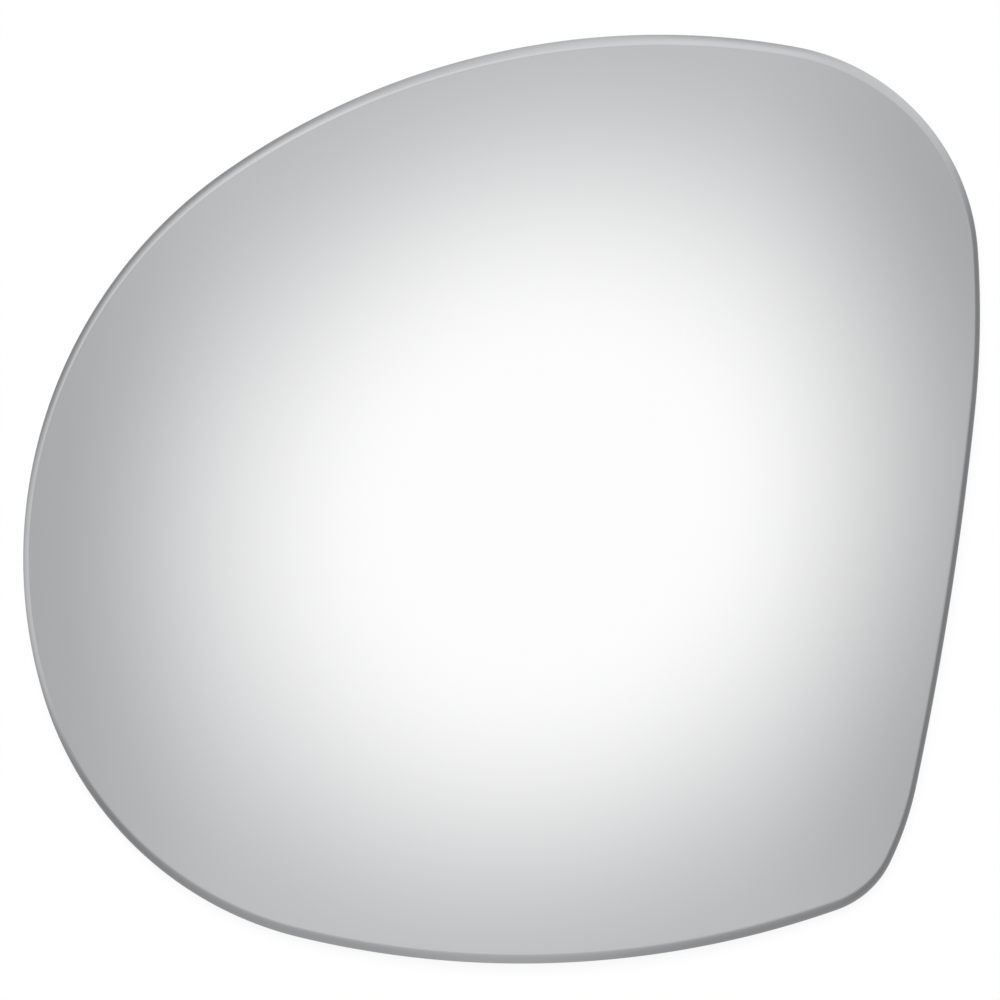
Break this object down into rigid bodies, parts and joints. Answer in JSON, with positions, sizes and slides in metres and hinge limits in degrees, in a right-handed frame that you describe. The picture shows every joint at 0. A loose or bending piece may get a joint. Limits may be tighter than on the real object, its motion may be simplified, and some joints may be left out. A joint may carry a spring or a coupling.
{
  "type": "car door mirror glass",
  "caption": "Convex silvered glass of a car's left door mirror: a bent sheet with a rounded outboard end, a nearly straight inboard side and a ground bevel round the face.",
  "frame": {"origin": "middle of the glass's box in plan, at the height of the surface that its rim lies on", "axes": "+X inboard, towards the car; +Y to the top of the mirror; +Z out of the reflecting face, up as it lies"},
  "size_m": [0.152, 0.1476, 0.0046],
  "materials": {
    "silvered_glass": "polished and silvered face, satin ground bevel, grey lacquer behind"
  },
  "bodies": {
    "root": {"mirror_glass": "silvered_glass"}
  },
  "joints": []
}
